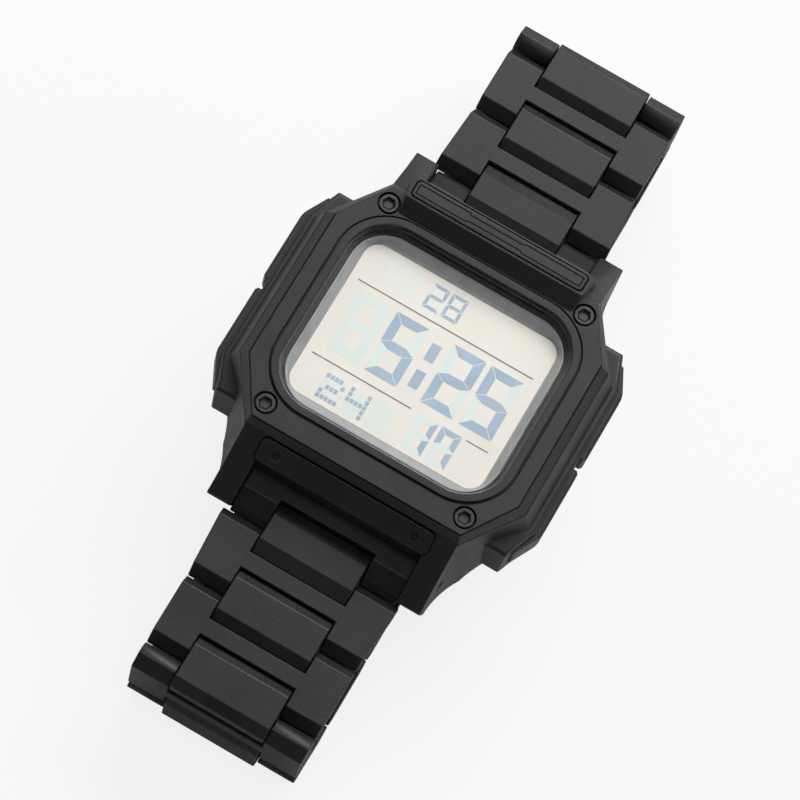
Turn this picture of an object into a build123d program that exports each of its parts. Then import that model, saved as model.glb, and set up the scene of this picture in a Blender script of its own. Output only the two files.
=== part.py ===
# A square digital watch on a closed link bracelet, lying on its folded clasp with the dial up.
# +X is 3 o'clock, +Y is 12 o'clock and +Z comes out of the dial. Lengths are in millimetres.
# The origin is under the middle of the watch, at the height of the surface that it lies on.

import os
from math import cos, radians, sin

from build123d import *

# Clearances and the overrun of every cut
running_clearance = 0.04
part_gap = 0.15
seat_gap = 0.1
overrun = 2.0

# Bracelet links: a wide link is an H seen from outside, a centre link fills the H's two mouths
band_width = 24.0
first_link_flare = 1.2
wide_pin_spacing = 6.2
centre_pin_spacing = 3.8
centre_link_width = 13.3
centre_link_length = 7.3
centre_link_rise = 0.4
centre_bevel_run = 1.3
centre_bevel_fall = 1.0
first_bevel_run = 1.85
wide_face_height = 1.8
wide_knuckle_radius = 1.8
wide_bevel_run = 1.3
wide_bevel_fall = 1.65
web_gap = 0.2
link_pin_diameter = 1.4
link_pin_recess = 0.5

# Route of each half of the bracelet, from the case out, down and back under the watch
top_run_angle = 0.0
end_wall_angle = 90.0
return_angle = 157.5
bottom_run_angle = 180.0
link_angles = [top_run_angle] * 5 + [end_wall_angle] * 2 + [return_angle] + [bottom_run_angle] * 5

# Display glass, its seal and the rim round it
glass_width = 31.2
glass_length = 26.8
glass_corner = 5.7
glass_thickness = 1.3
glass_gap = 0.3
glass_ledge = 0.45
gasket_step = 0.3
rim_width = 1.0
rim_rise = 0.3
groove_width = 0.25
groove_depth = 0.3

# Ledge under the glass, the display's opening and the module's chamber
ledge_thickness = 0.5
chamber_side_ledge = 0.65
chamber_end_ledge = 1.25
chamber_corner = 3.0
display_side_margin = 1.2
display_end_margin = 1.3
display_corner = 2.3
ring_height = 0.9

# Screws of the bezel and the case back, placed from the chamber's corners
screw_inset = 1.65
screw_margin = 1.4
screw_head_diameter = 2.5
screw_head_height = 0.85
screw_shank_diameter = 1.4
screw_length = 3.0
hex_across_corners = 1.5
hex_depth = 0.42
counterbore_diameter = 2.95
counterbore_depth = 0.9
back_screw_inset = 0.4
back_screw_length = 2.8

# Case, from its underside up and from its chamber out
pin_above_case = 4.1
back_reveal = 0.3
bezel_seat_height = 12.1
flank_top_height = 8.6
side_wall = 4.7
flank_flare = 1.2
flat_half_length = 10.9
end_wall = 3.15
waist_reach = 4.1
waist_flare = 6.8
corner_wall = 3.25
lug_reach = 8.1
lug_tip_height = 5.8
lug_tip_thickness = 0.5
lug_undercut = 1.8
lug_tip_wall = 3.6
lug_foot_wall = 4.05
lug_foot_reach = 2.85
lug_root_wall = 5.3
recess_margin = 0.1
recess_wall_reach = 0.65
brow_reach = 2.45
lug_hole_reach = 3.15
lug_hole_height = 4.5
lug_hole_diameter = 1.2

# Bezel plate, which leans in from the case's shoulder
bezel_thickness = 1.4
bezel_side_lean = 1.35
bezel_corner_lean = 0.35
bezel_end_lean = 0.95

# Raised bar at 12 o'clock and the plate let into its top
bar_rise = 1.6
bar_slope_length = 1.95
bar_top_length = 3.1
bar_rear_length = 0.8
bar_screw_gap = 0.225
bar_flare = 0.95
bar_plate_inset = 0.15
bar_plate_length = 2.3
bar_plate_thickness = 0.7
bar_plate_rise = 0.15
bar_plate_corner = 0.5

# Plate on the 6 o'clock face
lower_plate_overhang = 0.3
lower_plate_length = 3.2
lower_plate_thickness = 0.6
lower_plate_rise = 0.12
lower_plate_corner = 0.7
lower_plate_drop = 1.8
lower_screw_inset = 2.35
lower_head_height = 0.45

# Module inside the case
holder_wall = 0.9
lcd_thickness = 1.1
lcd_step = 1.9
lcd_plate_share = 0.5
backlight_thickness = 0.8
board_thickness = 0.8
strip_width = 1.6
strip_end_gap = 2.0
holder_foot = 0.9
board_seat = 5.4
battery_diameter = 20.0
battery_thickness = 2.5
battery_rim = 0.35
battery_cap_diameter = 17.9
chip_cover_diameter = 8.0
chip_cover_height = 0.8
clip_thickness = 0.25
clip_width = 5.0
clip_hole_diameter = 1.25
buzzer_diameter = 20.0
buzzer_thickness = 0.3

# Case back
back_side_margin = 1.7
back_end_margin = 1.8
back_corner = 2.5
back_thickness = 1.2
back_gasket_inset = 0.3
back_gasket_width = 0.7
back_gasket_depth = 0.5

# Side shoulders and the four push buttons
shoulder_flare = 0.9
shoulder_end_y = 15.65
shoulder_taper = 1.8
shoulder_root = 1.8
shoulder_top = 8.7
shoulder_bottom = 1.2
shoulder_edge = 0.6
button_proud = 0.8
button_start_y = 0.85
button_bend_y = 10.8
button_end_y = 14.4
button_depth = 1.9
button_bottom = 4.0
button_top = 7.9
button_edge = 0.3
button_travel = 0.8
stem_y = 6.0
stem_diameter = 1.6
stem_end_inset = 0.8
circlip_diameter = 3.0
circlip_thickness = 0.25
circlip_inset = 0.3
circlip_room = 1.4
o_ring_thickness = 0.32
o_ring_inset = 2.4
o_ring_groove = 0.3
spring_radius = 1.25
spring_wire = 0.3
spring_room = 1.9
spring_turns = 3.5

# End links and the spring bars that hold them
spring_bar_diameter = 1.5
spring_bar_tip = 1.0
spring_bar_tip_length = 1.6
end_link_gap = 0.08
end_link_height = 6.3
end_link_top_reach = 5.1
end_link_nose_reach = 7.35
end_link_nose_height = 4.9
end_link_pin_reach = 6.3
end_link_knuckle_radius = 1.8

# Folding clasp
clasp_wall = 1.8
clasp_floor = 1.0
clasp_wall_height = 4.3
clasp_block_gap = 0.3
clasp_ear_radius = 1.5
clasp_floor_gap = 0.35
clasp_floor_rise = 0.15
blade_side_gap = 1.25
middle_knuckle_width = 3.8
middle_blade_thickness = 0.9
inner_blade_thickness = 1.0
blade_gap = 0.35
cover_hinge_y = 12.4
blade_hinge_y = 14.2
hinge_pin_diameter = 1.0
cover_knuckle_radius = 0.85
yoke_start_y = 14.9
yoke_arm = 1.6
yoke_ear_radius = 1.7
pusher_y = 5.0
pusher_length = 5.2
pusher_height = 1.7
pusher_proud = 0.8
pusher_flange = 0.35
pusher_flange_lip = 0.45
rear_bar_diameter = 1.3

# Widths of the case, from the glass out to the buttons
window_half_width = glass_width / 2 - glass_ledge
window_corner = glass_corner - glass_ledge
chamber_half_width = window_half_width + chamber_side_ledge
display_half_width = window_half_width - display_side_margin
screw_x = chamber_half_width - screw_inset
back_screw_x = chamber_half_width - back_screw_inset
back_half_width = chamber_half_width + back_side_margin
seat_half_width = chamber_half_width + side_wall
top_half_width = seat_half_width - bezel_side_lean
flank_half_width = seat_half_width + flank_flare
shoulder_half_width = flank_half_width + shoulder_flare
shoulder_end_half_width = shoulder_half_width - shoulder_taper
shoulder_root_half_width = chamber_half_width + shoulder_root
button_half_width = shoulder_half_width + button_proud
stem_end_half_width = chamber_half_width + stem_end_inset
o_ring_half_width = chamber_half_width + o_ring_inset

# Widths of the lugs, from the bracelet between them
first_link_width = band_width + first_link_flare
recess_half_width = band_width / 2 - recess_margin
corner_half_width = recess_half_width + corner_wall
top_corner_half_width = corner_half_width - bezel_corner_lean
lug_tip_half_width = recess_half_width + lug_tip_wall
lug_foot_half_width = recess_half_width + lug_foot_wall
lug_root_half_width = recess_half_width + lug_root_wall
lug_waist_half_width = recess_half_width + waist_flare
lower_plate_width = 2 * (recess_half_width + lower_plate_overhang)
lower_screw_x = lower_plate_width / 2 - lower_screw_inset
bar_front_half_width = screw_x - counterbore_diameter / 2 - bar_screw_gap
bar_back_half_width = bar_front_half_width + bar_flare
bar_plate_width = 2 * (bar_front_half_width - bar_plate_inset)

# Lengths, from the glass out to the lugs and the bracelet's first pins
window_half_length = glass_length / 2 - glass_ledge
chamber_half_length = window_half_length + chamber_end_ledge
display_half_length = window_half_length - display_end_margin
screw_y = chamber_half_length + screw_margin
back_half_length = screw_y + back_end_margin
seat_half_length = screw_y + end_wall
top_half_length = seat_half_length - bezel_end_lean
bar_foot_y = glass_length / 2 + glass_gap + rim_width + groove_width + seat_gap
bar_front_y = bar_foot_y + bar_slope_length
bar_back_y = bar_front_y + bar_top_length
bar_rear_y = bar_back_y + bar_rear_length
lug_waist_y = flat_half_length + waist_reach
lug_foot_y = seat_half_length + lug_foot_reach
lug_tip_y = seat_half_length + lug_reach
recess_wall_y = seat_half_length + recess_wall_reach
brow_y = seat_half_length + brow_reach
lug_hole_y = seat_half_length + lug_hole_reach
end_link_top_y = seat_half_length + end_link_top_reach
end_link_nose_y = seat_half_length + end_link_nose_reach
first_pin_y = seat_half_length + end_link_pin_reach

# Link sizes that follow from those above
centre_knuckle_radius = (centre_link_length - centre_pin_spacing) / 2
centre_face_height = wide_face_height + centre_link_rise
leg_inner = centre_link_width / 2 + part_gap
link_bore = link_pin_diameter + 2 * running_clearance
link_spacings = [centre_pin_spacing, wide_pin_spacing] * 6 + [centre_pin_spacing]


def link_route():
    """Pin centres as (y, z), from the case to the clasp, standing on the bottom run's outer faces."""
    pins = [(first_pin_y, 0)]
    for spacing, angle in zip(link_spacings, link_angles):
        y, z = pins[-1]
        pins.append((y + spacing * cos(radians(angle)), z - spacing * sin(radians(angle))))
    lift = centre_face_height - pins[-1][1]
    return [(y, z + lift) for y, z in pins]


# Heights of the case, which hangs from the bracelet's first pins
route = link_route()
case_z = route[0][1] - pin_above_case
seat_z = case_z + bezel_seat_height
top_z = seat_z + bezel_thickness
glass_z = seat_z

# Buttons and the module, from the case
stem_height = (button_bottom + button_top) / 2
button_inner = button_half_width - button_depth
pocket_inner = button_inner - button_travel - part_gap
clip_recess_x = chamber_half_width + circlip_room
ledge_z = seat_z - gasket_step - ledge_thickness
lcd_top = ledge_z - part_gap
lcd_bottom = lcd_top - lcd_thickness
holder_bottom = case_z + back_thickness + holder_foot
board_z = case_z + board_seat
holder_half_width = chamber_half_width - part_gap
holder_half_length = chamber_half_length - part_gap
tray_half_width = holder_half_width - holder_wall
tray_half_length = holder_half_length - holder_wall
tray_corner = chamber_corner - part_gap - holder_wall

# Clasp, from the bracelet's last pins
clasp_y, clasp_z = route[-1]
clasp_inner_half = centre_link_width / 2 + clasp_block_gap
clasp_outer_half = clasp_inner_half + clasp_wall
blade_width = 2 * (clasp_inner_half - blade_side_gap)
floor_half_length = clasp_y - centre_knuckle_radius - clasp_floor_gap
middle_blade_z = clasp_floor + blade_gap
middle_axis_z = clasp_floor + clasp_floor_rise + cover_knuckle_radius
inner_blade_z = middle_axis_z + cover_knuckle_radius + clasp_floor_rise
blade_axis_z = (middle_blade_z + inner_blade_z + inner_blade_thickness) / 2
blade_knuckle_radius = (inner_blade_z + inner_blade_thickness - middle_blade_z) / 2
pusher_z = (clasp_floor + clasp_wall_height) / 2


def rounded_plate(half_width, half_length, corner, low, high):
    """A flat plate with rounded corners, between two heights."""
    with BuildPart() as plate:
        with BuildSketch(Plane.XY.offset(low)):
            RectangleRounded(2 * half_width, 2 * half_length, corner)
        extrude(amount=high - low)
    return plate.part


def side_plane(half):
    """Upright plane across the middle whose first axis points away from it, towards +Y or -Y."""
    return Plane(origin=(0, 0, 0), x_dir=(0, half, 0), z_dir=(half, 0, 0))


def link_plane(index, half):
    """Plane of one link's side profile, at its inner pin, running along the link."""
    y, z = route[index]
    angle = radians(link_angles[index])
    return Plane(
        origin=(0, half * y, z),
        x_dir=(0, half * cos(angle), -sin(angle)),
        z_dir=(half, 0, 0),
    )


def link_profile(spacing, radius, face, run, fall):
    """Bevelled outer face and an inner side rounded about both pins."""
    turn = radius * cos(radians(45))
    with BuildSketch() as profile:
        with BuildLine():
            Polyline(
                (-radius, 0),
                (-radius, face - fall),
                (-radius + run, face),
                (spacing + radius - run, face),
                (spacing + radius, face - fall),
                (spacing + radius, 0),
            )
            ThreePointArc((spacing + radius, 0), (spacing + turn, -turn), (spacing, -radius))
            Line((spacing, -radius), (0, -radius))
            ThreePointArc((0, -radius), (-turn, -turn), (-radius, 0))
        make_face()
    return profile.sketch


def make_centre_link(index, half, pin_lengths):
    """The block in the middle of the bracelet, with its two pins pressed through it."""
    plane = link_plane(index, half)
    run = centre_bevel_run if index else first_bevel_run
    profile = link_profile(
        centre_pin_spacing, centre_knuckle_radius, centre_face_height, run, centre_bevel_fall
    )
    with BuildPart() as link:
        with BuildSketch(plane):
            add(profile)
        extrude(amount=centre_link_width / 2, both=True)
        for place, length in zip((0, centre_pin_spacing), pin_lengths):
            with BuildSketch(plane):
                with Locations((place, 0)):
                    Circle(link_pin_diameter / 2)
            extrude(amount=length / 2, both=True)
    return link


def make_wide_link(index, half, start_width):
    """Two legs joined by a web, seen from outside as an H."""
    plane = link_plane(index, half)
    profile = link_profile(
        wide_pin_spacing, wide_knuckle_radius, wide_face_height, wide_bevel_run, wide_bevel_fall
    )
    web_start = centre_knuckle_radius + web_gap
    web_length = wide_pin_spacing - 2 * web_start
    leg_width = start_width / 2 - leg_inner
    with BuildPart() as link:
        for leg_side in (leg_inner, -leg_inner - leg_width):
            with BuildSketch(plane.offset(leg_side)):
                add(profile)
            extrude(amount=leg_width)
        with BuildSketch(plane):
            with Locations((web_start + web_length / 2, 0)):
                Rectangle(web_length, wide_face_height + wide_knuckle_radius)
        extrude(amount=leg_inner + leg_width / 2, both=True)
        with BuildSketch(plane):
            with Locations((0, 0), (wide_pin_spacing, 0)):
                Circle(link_bore / 2)
        extrude(amount=start_width, both=True, mode=Mode.SUBTRACT)
        if start_width > band_width:
            far_end = wide_pin_spacing + wide_knuckle_radius
            flat = Plane(origin=plane.origin, x_dir=plane.x_dir, z_dir=plane.y_dir)
            for edge in (-half, half):
                with BuildSketch(flat):
                    with BuildLine():
                        Polyline(
                            (-wide_knuckle_radius, edge * start_width / 2),
                            (far_end, edge * band_width / 2),
                            (far_end, edge * (start_width / 2 + overrun)),
                            (-wide_knuckle_radius, edge * (start_width / 2 + overrun)),
                            close=True,
                        )
                    make_face()
                extrude(amount=start_width, both=True, mode=Mode.SUBTRACT)
    return link


def quarter_points(level):
    """Flank, waist, root, foot and lug tip of the case's outline at one of its three levels."""
    if level == "foot":
        return [
            (flank_half_width, flat_half_length),
            (lug_waist_half_width, lug_waist_y),
            (lug_root_half_width, seat_half_length),
            (lug_foot_half_width, lug_foot_y),
            (lug_tip_half_width, lug_tip_y),
        ]
    wide = flank_half_width if level == "flank" else seat_half_width
    middle = ((wide + corner_half_width) / 2, (flat_half_length + seat_half_length) / 2)
    return [
        (wide, flat_half_length),
        middle,
        (corner_half_width, seat_half_length),
        (corner_half_width, (seat_half_length + lug_tip_y) / 2),
        (corner_half_width, lug_tip_y),
    ]


def case_section(height, level):
    """The whole outline of the case at one height, four like quarters."""
    right = quarter_points(level)
    with BuildSketch(Plane.XY.offset(height)) as section:
        with BuildLine():
            for across, along in ((1, 1), (-1, -1)):
                quarter = [(across * x, along * y) for x, y in right]
                other = [(-across * x, along * y) for x, y in reversed(right)]
                for points in (quarter, other):
                    if level == "foot":
                        ThreePointArc(points[0], points[1], points[2])
                        ThreePointArc(points[2], points[3], points[4])
                    else:
                        Line(points[0], points[2])
                        Line(points[2], points[4])
                Line(quarter[4], other[0])
                Line(other[4], (-quarter[0][0], -quarter[0][1]))
        make_face()
    return section.sketch


def bent_bar(outer, inner, start_y, bend_y, end_y, end_drop):
    """Plan of a bar along a flank, with its far end bent in towards the lug."""
    with BuildSketch() as plan:
        with BuildLine():
            Polyline(
                (inner, start_y),
                (outer, start_y),
                (outer, bend_y),
                (outer - end_drop, end_y),
                (inner - end_drop, end_y),
                (inner, bend_y),
                close=True,
            )
        make_face()
    return plan.sketch


def make_shoulder(side):
    """The thick part of the middle case that the two buttons of one side sit in."""
    with BuildPart() as shoulder:
        with BuildSketch(Plane.XY.offset(case_z + shoulder_bottom)):
            with BuildLine():
                Polyline(
                    (side * shoulder_root_half_width, shoulder_end_y),
                    (side * shoulder_end_half_width, shoulder_end_y),
                    (side * shoulder_half_width, flat_half_length),
                    (side * shoulder_half_width, -flat_half_length),
                    (side * shoulder_end_half_width, -shoulder_end_y),
                    (side * shoulder_root_half_width, -shoulder_end_y),
                    close=True,
                )
            make_face()
        extrude(amount=shoulder_top - shoulder_bottom)
        rims = shoulder.faces().sort_by(Axis.Z)
        edges = rims[-1].edges() + rims[0].edges()
        outside = [edge for edge in edges if abs(edge.center().X) > shoulder_root_half_width + shoulder_edge]
        fillet(outside, shoulder_edge)
    return shoulder.part


def button_places():
    """Name, side and end of each of the four buttons."""
    return (
        ("button_upper_right", 1, 1),
        ("button_lower_right", 1, -1),
        ("button_upper_left", -1, 1),
        ("button_lower_left", -1, -1),
    )


def button_plane(side, end, height):
    """Level plane whose first axis points out of the case's side and second towards the lugs."""
    return Plane(origin=(0, 0, case_z + height), x_dir=(side, 0, 0), z_dir=(0, 0, side * end))


def make_case_body():
    """The middle case with lugs, shoulders, chamber and every seat in it."""
    shoulders = [make_shoulder(side) for side in (1, -1)]
    pocket = bent_bar(
        button_half_width + overrun,
        pocket_inner,
        button_start_y - part_gap,
        button_bend_y,
        button_end_y + part_gap,
        shoulder_taper,
    )
    with BuildPart() as case:
        add(case_section(case_z + back_reveal, "foot"))
        add(case_section(case_z + flank_top_height, "flank"))
        loft(ruled=True)
        add(case_section(case_z + flank_top_height, "flank"))
        add(case_section(seat_z, "seat"))
        loft(ruled=True)
        for end in (1, -1):
            with BuildSketch(side_plane(end)):
                with BuildLine():
                    Polyline(
                        (seat_half_length, seat_z),
                        (lug_tip_y, case_z + lug_tip_height),
                        (lug_tip_y + overrun, case_z + lug_tip_height),
                        (lug_tip_y + overrun, seat_z + overrun),
                        (seat_half_length, seat_z + overrun),
                        close=True,
                    )
                make_face()
            extrude(amount=flank_half_width + overrun, both=True, mode=Mode.SUBTRACT)
            with BuildSketch(side_plane(end)):
                with BuildLine():
                    Polyline(
                        (lug_tip_y, case_z + lug_tip_height - lug_tip_thickness),
                        (lug_tip_y - lug_undercut, case_z + back_reveal),
                        (lug_tip_y - lug_undercut, case_z - overrun),
                        (lug_tip_y + overrun, case_z - overrun),
                        (lug_tip_y + overrun, case_z + lug_tip_height - lug_tip_thickness),
                        close=True,
                    )
                make_face()
            extrude(amount=flank_half_width + overrun, both=True, mode=Mode.SUBTRACT)
            with BuildSketch(side_plane(end)):
                with BuildLine():
                    Polyline(
                        (recess_wall_y, case_z - overrun),
                        (recess_wall_y, case_z + end_link_height + end_link_gap),
                        (brow_y, case_z + end_link_height + end_link_gap),
                        (brow_y, seat_z + overrun),
                        (lug_tip_y + overrun, seat_z + overrun),
                        (lug_tip_y + overrun, case_z - overrun),
                        close=True,
                    )
                make_face()
            extrude(amount=recess_half_width, both=True, mode=Mode.SUBTRACT)
            with BuildSketch(side_plane(end)):
                with Locations((lug_hole_y, case_z + lug_hole_height)):
                    Circle(lug_hole_diameter / 2)
            extrude(amount=flank_half_width, both=True, mode=Mode.SUBTRACT)
        for shoulder in shoulders:
            add(shoulder)
        add(chamber_cut(), mode=Mode.SUBTRACT)
        for _, side, end in button_places():
            with BuildSketch(button_plane(side, end, button_bottom - part_gap)):
                add(pocket)
            extrude(
                amount=side * end * (button_top - button_bottom + 2 * part_gap),
                mode=Mode.SUBTRACT,
            )
            for radius, inner, outer in (
                (stem_diameter / 2 + running_clearance, chamber_half_width - overrun, pocket_inner + overrun),
                (spring_radius + spring_wire, pocket_inner - spring_room, pocket_inner + overrun),
                (circlip_diameter / 2 + part_gap, chamber_half_width - overrun, clip_recess_x),
            ):
                with BuildSketch(stem_plane(side, end, inner)):
                    Circle(radius)
                extrude(amount=outer - inner, mode=Mode.SUBTRACT)
        with BuildSketch(Plane.XY.offset(seat_z)):
            with GridLocations(2 * screw_x, 2 * screw_y, 2, 2):
                Circle(screw_shank_diameter / 2 + running_clearance)
        extrude(amount=-screw_length, mode=Mode.SUBTRACT)
        with BuildSketch(Plane.XY.offset(case_z + back_thickness)):
            with GridLocations(2 * back_screw_x, 2 * screw_y, 2, 2):
                Circle(screw_shank_diameter / 2 + running_clearance)
        extrude(amount=back_screw_length, mode=Mode.SUBTRACT)
        with BuildSketch(lower_plate_plane()):
            RectangleRounded(
                lower_plate_width + 2 * seat_gap,
                lower_plate_length + 2 * seat_gap,
                lower_plate_corner,
            )
        extrude(amount=-lower_plate_thickness, mode=Mode.SUBTRACT)
        with BuildSketch(lower_plate_plane().offset(-lower_plate_thickness)):
            with GridLocations(2 * lower_screw_x, 0, 2, 1):
                Circle(screw_shank_diameter / 2 + running_clearance)
        extrude(amount=-lower_plate_thickness, mode=Mode.SUBTRACT)
    return case


def stem_plane(side, end, distance):
    """Plane across a button's stem, at a distance from the middle of the watch."""
    return Plane(
        origin=(side * distance, end * stem_y, case_z + stem_height),
        x_dir=(0, 1, 0),
        z_dir=(side, 0, 0),
    )


def lower_plate_plane():
    """Plane of the sloping 6 o'clock face, centred where the plate sits."""
    run = lug_tip_y - seat_half_length
    fall = seat_z - case_z - lug_tip_height
    slope = (run**2 + fall**2) ** (1 / 2)
    share = lower_plate_drop / slope
    return Plane(
        origin=(0, -seat_half_length - run * share, seat_z - fall * share),
        x_dir=(1, 0, 0),
        z_dir=(0, -fall / slope, run / slope),
    )


def chamber_cut():
    """Everything that is open through the middle of the case: window, ledge, chamber and back seat."""
    gasket_z = seat_z - gasket_step
    back_z = case_z + back_thickness
    with BuildPart() as cut:
        add(
            rounded_plate(
                glass_width / 2 + glass_gap,
                glass_length / 2 + glass_gap,
                glass_corner + glass_gap,
                gasket_z,
                seat_z + overrun,
            )
        )
        add(rounded_plate(window_half_width, window_half_length, window_corner, ledge_z, seat_z))
        add(
            rounded_plate(
                back_half_width + seat_gap,
                back_half_length + seat_gap,
                back_corner + seat_gap,
                case_z - overrun,
                back_z,
            )
        )
        inset = back_gasket_inset + back_gasket_width
        add(
            rounded_plate(
                chamber_half_width + inset,
                chamber_half_length + inset,
                chamber_corner + inset,
                back_z,
                back_z + back_gasket_depth,
            )
        )
        add(
            rounded_plate(
                chamber_half_width + back_gasket_inset,
                chamber_half_length + back_gasket_inset,
                chamber_corner + back_gasket_inset,
                back_z,
                back_z + back_gasket_depth,
            ),
            mode=Mode.SUBTRACT,
        )
        add(rounded_plate(chamber_half_width, chamber_half_length, chamber_corner, case_z, ledge_z))
    return cut.part


def octagon(height, half_width, corner_width, half_length):
    """Octagonal outline of the bezel plate at one height."""
    with BuildSketch(Plane.XY.offset(height)) as outline:
        with BuildLine():
            Polyline(
                (half_width, flat_half_length),
                (corner_width, half_length),
                (-corner_width, half_length),
                (-half_width, flat_half_length),
                (-half_width, -flat_half_length),
                (-corner_width, -half_length),
                (corner_width, -half_length),
                (half_width, -flat_half_length),
                close=True,
            )
        make_face()
    return outline.sketch


def slope_z(y):
    """Height of the case's sloping end faces at a distance from the middle."""
    share = (y - seat_half_length) / (lug_tip_y - seat_half_length)
    return seat_z - share * (seat_z - case_z - lug_tip_height)


def make_bar():
    """The raised bar at 12 o'clock, which leans over the sloping end of the case."""
    bar_z = top_z + bar_rise
    with BuildPart() as bar:
        with BuildSketch(side_plane(1)):
            with BuildLine():
                Polyline(
                    (bar_foot_y, seat_z),
                    (bar_foot_y, top_z),
                    (bar_front_y, bar_z),
                    (bar_back_y, bar_z),
                    (bar_rear_y, slope_z(bar_rear_y)),
                    (seat_half_length, seat_z),
                    close=True,
                )
            make_face()
        extrude(amount=bar_back_half_width, both=True)
        for side in (1, -1):
            with BuildSketch(Plane.XY.offset(case_z)):
                with BuildLine():
                    Polyline(
                        (side * bar_front_half_width, bar_foot_y),
                        (side * bar_back_half_width, bar_rear_y),
                        (side * (bar_back_half_width + overrun), bar_rear_y),
                        (side * (bar_back_half_width + overrun), bar_foot_y),
                        close=True,
                    )
                make_face()
            extrude(amount=bar_z + overrun - case_z, mode=Mode.SUBTRACT)
    return bar.part


def bar_plate_place(height):
    """Plane of the insert plate on top of the bar."""
    middle = (bar_front_y + bar_back_y) / 2
    return Plane(origin=(0, middle, height), x_dir=(1, 0, 0), z_dir=(0, 0, 1))


def make_bezel():
    """The octagonal plate with a rim round the glass, four counterbores and the bar."""
    opening_width = glass_width + 2 * glass_gap
    opening_length = glass_length + 2 * glass_gap
    opening_corner = glass_corner + glass_gap
    rim = rounded_plate(
        opening_width / 2 + rim_width,
        opening_length / 2 + rim_width,
        opening_corner + rim_width,
        top_z - groove_depth,
        top_z + rim_rise,
    )
    groove_inset = rim_width + groove_width
    groove = rounded_plate(
        opening_width / 2 + groove_inset,
        opening_length / 2 + groove_inset,
        opening_corner + groove_inset,
        top_z - groove_depth,
        top_z + overrun,
    )
    bar = make_bar()
    with BuildPart() as bezel:
        add(octagon(seat_z, seat_half_width, corner_half_width, seat_half_length))
        add(octagon(top_z, top_half_width, top_corner_half_width, top_half_length))
        loft(ruled=True)
        add(groove, mode=Mode.SUBTRACT)
        add(rim)
        add(bar)
        with BuildSketch(Plane.XY.offset(seat_z)):
            RectangleRounded(opening_width, opening_length, opening_corner)
        extrude(amount=bezel_thickness + rim_rise, mode=Mode.SUBTRACT)
        with BuildSketch(Plane.XY.offset(top_z - counterbore_depth)):
            with GridLocations(2 * screw_x, 2 * screw_y, 2, 2):
                Circle(counterbore_diameter / 2)
        extrude(amount=counterbore_depth + bar_rise, mode=Mode.SUBTRACT)
        with BuildSketch(Plane.XY.offset(seat_z)):
            with GridLocations(2 * screw_x, 2 * screw_y, 2, 2):
                Circle(screw_shank_diameter / 2 + running_clearance)
        extrude(amount=bezel_thickness, mode=Mode.SUBTRACT)
        with BuildSketch(bar_plate_place(top_z + bar_rise + bar_plate_rise - bar_plate_thickness)):
            RectangleRounded(
                bar_plate_width + 2 * seat_gap,
                bar_plate_length + 2 * seat_gap,
                bar_plate_corner + seat_gap,
            )
        extrude(amount=bar_plate_thickness, mode=Mode.SUBTRACT)
    return bezel


def make_screws(planes, head_height, length):
    """Socket-head screws as a group of solids, each with its head's underside on its plane."""
    with BuildPart() as screws:
        for plane in planes:
            with BuildSketch(plane):
                Circle(screw_head_diameter / 2)
            extrude(amount=head_height)
            with BuildSketch(plane):
                Circle(screw_shank_diameter / 2)
            extrude(amount=-length)
            with BuildSketch(plane.offset(head_height)):
                RegularPolygon(hex_across_corners / 2, 6)
            extrude(amount=-min(hex_depth, head_height / 2), mode=Mode.SUBTRACT)
    return screws


def corner_planes(x, y, z, up):
    """Four planes at the corners of a rectangle, all facing up or all facing down."""
    return [
        Plane(origin=(across * x, along * y, z), x_dir=(1, 0, 0), z_dir=(0, 0, up))
        for across in (1, -1)
        for along in (1, -1)
    ]


def make_glass():
    """Flat display glass with a ground edge."""
    with BuildPart() as glass:
        with BuildSketch(Plane.XY.offset(glass_z)):
            RectangleRounded(glass_width, glass_length, glass_corner)
        extrude(amount=glass_thickness)
        chamfer(glass.faces().sort_by(Axis.Z)[-1].edges(), glass_gap)
    return glass


def make_glass_gasket():
    """Thin seal round the glass with a foot under its edge."""
    wall_top = glass_z + glass_thickness - 2 * glass_gap
    with BuildPart() as gasket:
        with BuildSketch(Plane.XY.offset(seat_z - gasket_step)):
            RectangleRounded(
                glass_width + 2 * glass_gap, glass_length + 2 * glass_gap, glass_corner + glass_gap
            )
        extrude(amount=wall_top - seat_z + gasket_step)
        with BuildSketch(Plane.XY.offset(glass_z)):
            RectangleRounded(glass_width, glass_length, glass_corner)
        extrude(amount=glass_thickness, mode=Mode.SUBTRACT)
        with BuildSketch(Plane.XY.offset(seat_z - gasket_step)):
            RectangleRounded(2 * window_half_width, 2 * window_half_length, window_corner)
        extrude(amount=gasket_step, mode=Mode.SUBTRACT)
    return gasket


def make_display_ring():
    """Light frame between the glass and the panel, its inner wall sloping down to the display."""
    ring_top = lcd_top + ring_height
    with BuildPart() as ring:
        with BuildSketch(Plane.XY.offset(lcd_top)):
            RectangleRounded(
                2 * (window_half_width - part_gap),
                2 * (window_half_length - part_gap),
                window_corner - part_gap,
            )
        extrude(amount=ring_height)
        with BuildSketch(Plane.XY.offset(lcd_top)):
            RectangleRounded(2 * display_half_width, 2 * display_half_length, display_corner)
        with BuildSketch(Plane.XY.offset(ring_top)):
            RectangleRounded(
                2 * (window_half_width - 2 * part_gap),
                2 * (window_half_length - 2 * part_gap),
                window_corner - 2 * part_gap,
            )
        loft(mode=Mode.SUBTRACT)
    return ring


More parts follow.
